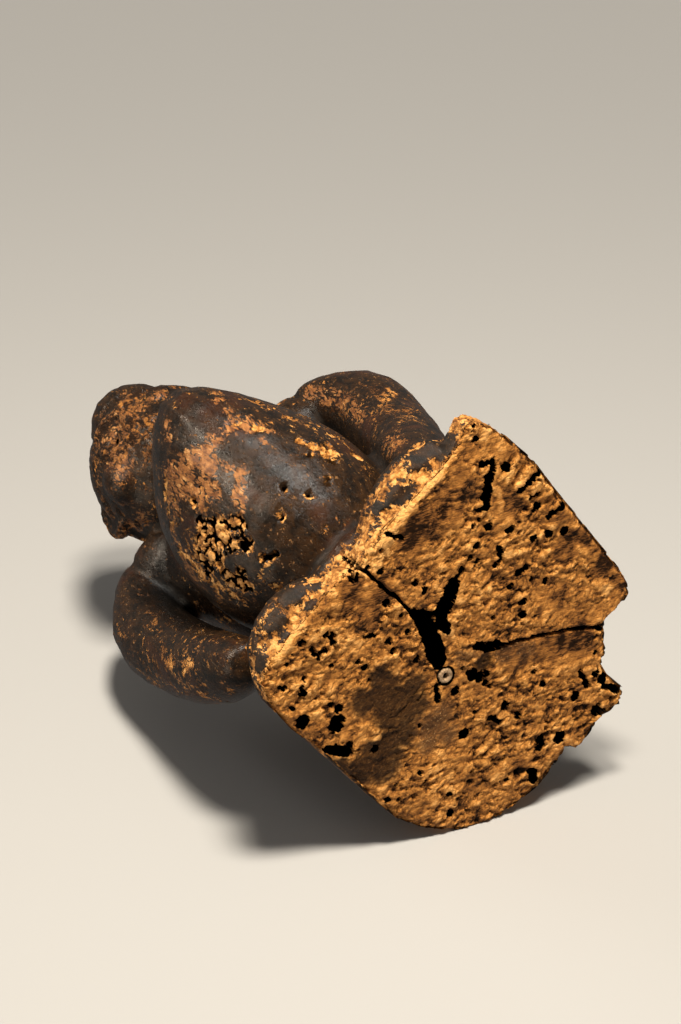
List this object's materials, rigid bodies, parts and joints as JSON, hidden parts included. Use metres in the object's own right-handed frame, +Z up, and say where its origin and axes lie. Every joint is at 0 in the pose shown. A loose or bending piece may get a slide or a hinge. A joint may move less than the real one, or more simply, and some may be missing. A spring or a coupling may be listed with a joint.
{
  "type": "carved wooden figure",
  "caption": "Squat seated figure carved from a solid block of dark wood, with a great pointed belly, arms bowed to the knees, and a worm-eaten, split underside with a tiny ring stuck in it.",
  "frame": {"origin": "on the resting plane, under the middle of the figure's box", "axes": "+Z up from the underside to the crest of the head, the front of the figure towards -Y, +X to the figure's own left"},
  "size_m": [0.1304, 0.1354, 0.209],
  "materials": {
    "dark_wood": "dark, handled patina, worn to bare tan wood in patches; the underside is bare, eaten end grain",
    "pale_ring": "pale, dusty, slightly worn"
  },
  "bodies": {
    "root": {"figure": "dark_wood", "lodged_ring": "pale_ring"}
  },
  "joints": []
}
